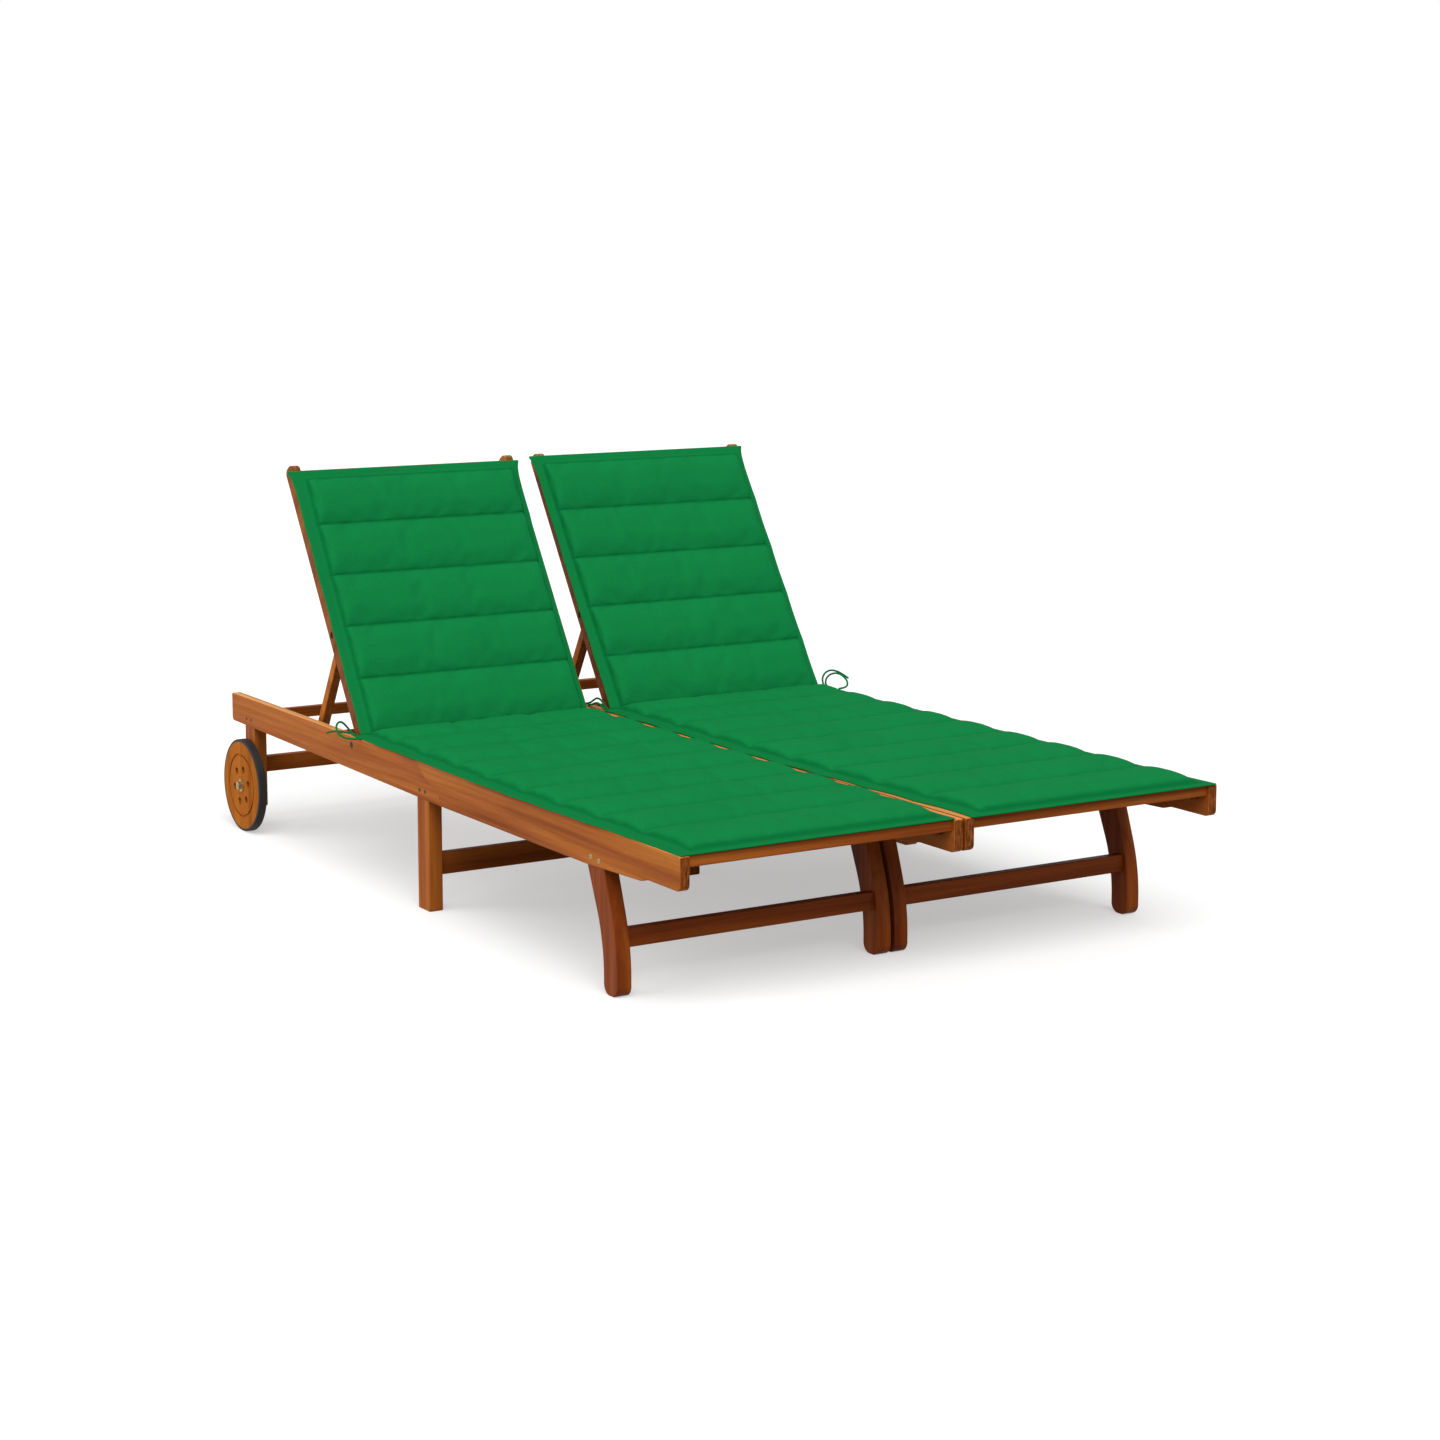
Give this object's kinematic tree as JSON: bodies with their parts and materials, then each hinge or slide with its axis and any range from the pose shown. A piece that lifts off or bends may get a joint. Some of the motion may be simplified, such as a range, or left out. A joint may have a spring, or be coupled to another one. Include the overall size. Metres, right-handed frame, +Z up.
{
  "type": "double chaise lounger",
  "caption": "Two wooden sun loungers side by side, with green quilted cushions, reclining backrests on props and disc wheels at the head end.",
  "frame": {"origin": "middle of the bounding box at floor level", "axes": "+X across from the left lounger to the right one seen from the foot end, +Y from the foot end to the head end, +Z up"},
  "size_m": [1.3032, 2.008, 0.8455],
  "materials": {
    "oiled_wood": "oiled hardwood",
    "wheel_wood": "oiled hardwood, turned",
    "rubber": "matt black rubber",
    "steel": "zinc plated",
    "cushion_fabric": "matt woven cover",
    "tie_cord": "matt woven cord"
  },
  "bodies": {
    "frame": {"axle_bolts": "steel", "axle_nuts": "steel", "axle_washers": "steel", "foot_cross_rails": "oiled_wood", "frame_connectors": "steel", "head_cross_rails": "oiled_wood", "hinge_bolts": "steel", "left_front_stretcher": "oiled_wood", "left_inner_foot_rail": "oiled_wood", "left_inner_front_leg": "oiled_wood", "left_inner_head_rail": "oiled_wood", "left_mid_legs": "oiled_wood", "left_mid_stretcher": "oiled_wood", "left_outer_foot_rail": "oiled_wood", "left_outer_front_leg": "oiled_wood", "left_outer_head_rail": "oiled_wood", "left_rear_legs": "oiled_wood", "left_rear_stretcher": "oiled_wood", "left_seat_cushion": "cushion_fabric", "left_seat_slats": "oiled_wood", "left_tie_end": "tie_cord", "left_tie_loop": "tie_cord", "leg_screws": "steel", "middle_tie_lower": "tie_cord", "middle_tie_upper": "tie_cord", "prop_racks": "oiled_wood", "right_front_stretcher": "oiled_wood", "right_inner_foot_rail": "oiled_wood", "right_inner_front_leg": "oiled_wood", "right_inner_head_rail": "oiled_wood", "right_mid_legs": "oiled_wood", "right_mid_stretcher": "oiled_wood", "right_outer_foot_rail": "oiled_wood", "right_outer_front_leg": "oiled_wood", "right_outer_head_rail": "oiled_wood", "right_rear_legs": "oiled_wood", "right_rear_stretcher": "oiled_wood", "right_seat_cushion": "cushion_fabric", "right_seat_slats": "oiled_wood", "right_tie_end": "tie_cord", "right_tie_loop": "tie_cord", "slat_cleats": "oiled_wood"},
    "left_backrest": {"left_back_cushion": "cushion_fabric", "left_backrest_slats": "oiled_wood", "left_inner_stile": "oiled_wood", "left_outer_stile": "oiled_wood", "left_prop_bolts": "steel"},
    "left_prop": {"left_prop_arms": "oiled_wood", "left_prop_bar": "oiled_wood"},
    "left_wheel": {"left_wheel_disc": "wheel_wood", "left_wheel_tyre": "rubber"},
    "right_backrest": {"right_back_cushion": "cushion_fabric", "right_backrest_slats": "oiled_wood", "right_inner_stile": "oiled_wood", "right_outer_stile": "oiled_wood", "right_prop_bolts": "steel"},
    "right_prop": {"right_prop_arms": "oiled_wood", "right_prop_bar": "oiled_wood"},
    "right_wheel": {"right_wheel_disc": "wheel_wood", "right_wheel_tyre": "rubber"}
  },
  "joints": [
    {"name": "left_backrest_hinge", "type": "hinge", "parent": "frame", "child": "left_backrest", "pos_m": [-0.3025, 0.3396, 0.2845], "axis": [1, 0, 0], "range_deg": [-57, 0]},
    {"name": "left_prop_hinge", "type": "hinge", "parent": "left_backrest", "child": "left_prop", "pos_m": [-0.3025, 0.48238, 0.49702], "axis": [1, 0, 0], "range_deg": [-0.5, 112.79]},
    {"name": "left_wheel_spin", "type": "hinge", "parent": "frame", "child": "left_wheel", "pos_m": [-0.614, 0.899, 0.105], "axis": [1, 0, 0], "continuous": true},
    {"name": "right_backrest_hinge", "type": "hinge", "parent": "frame", "child": "right_backrest", "pos_m": [0.3025, 0.3396, 0.2845], "axis": [1, 0, 0], "range_deg": [-57, 0]},
    {"name": "right_prop_hinge", "type": "hinge", "parent": "right_backrest", "child": "right_prop", "pos_m": [0.3025, 0.48238, 0.49702], "axis": [1, 0, 0], "range_deg": [-0.5, 112.79]},
    {"name": "right_wheel_spin", "type": "hinge", "parent": "frame", "child": "right_wheel", "pos_m": [0.614, 0.899, 0.105], "axis": [1, 0, 0], "continuous": true}
  ],
  "couplings": [
    {"joint": "left_prop_hinge", "follows": "left_backrest_hinge", "ratio": -1.97},
    {"joint": "right_prop_hinge", "follows": "right_backrest_hinge", "ratio": -1.97}
  ]
}
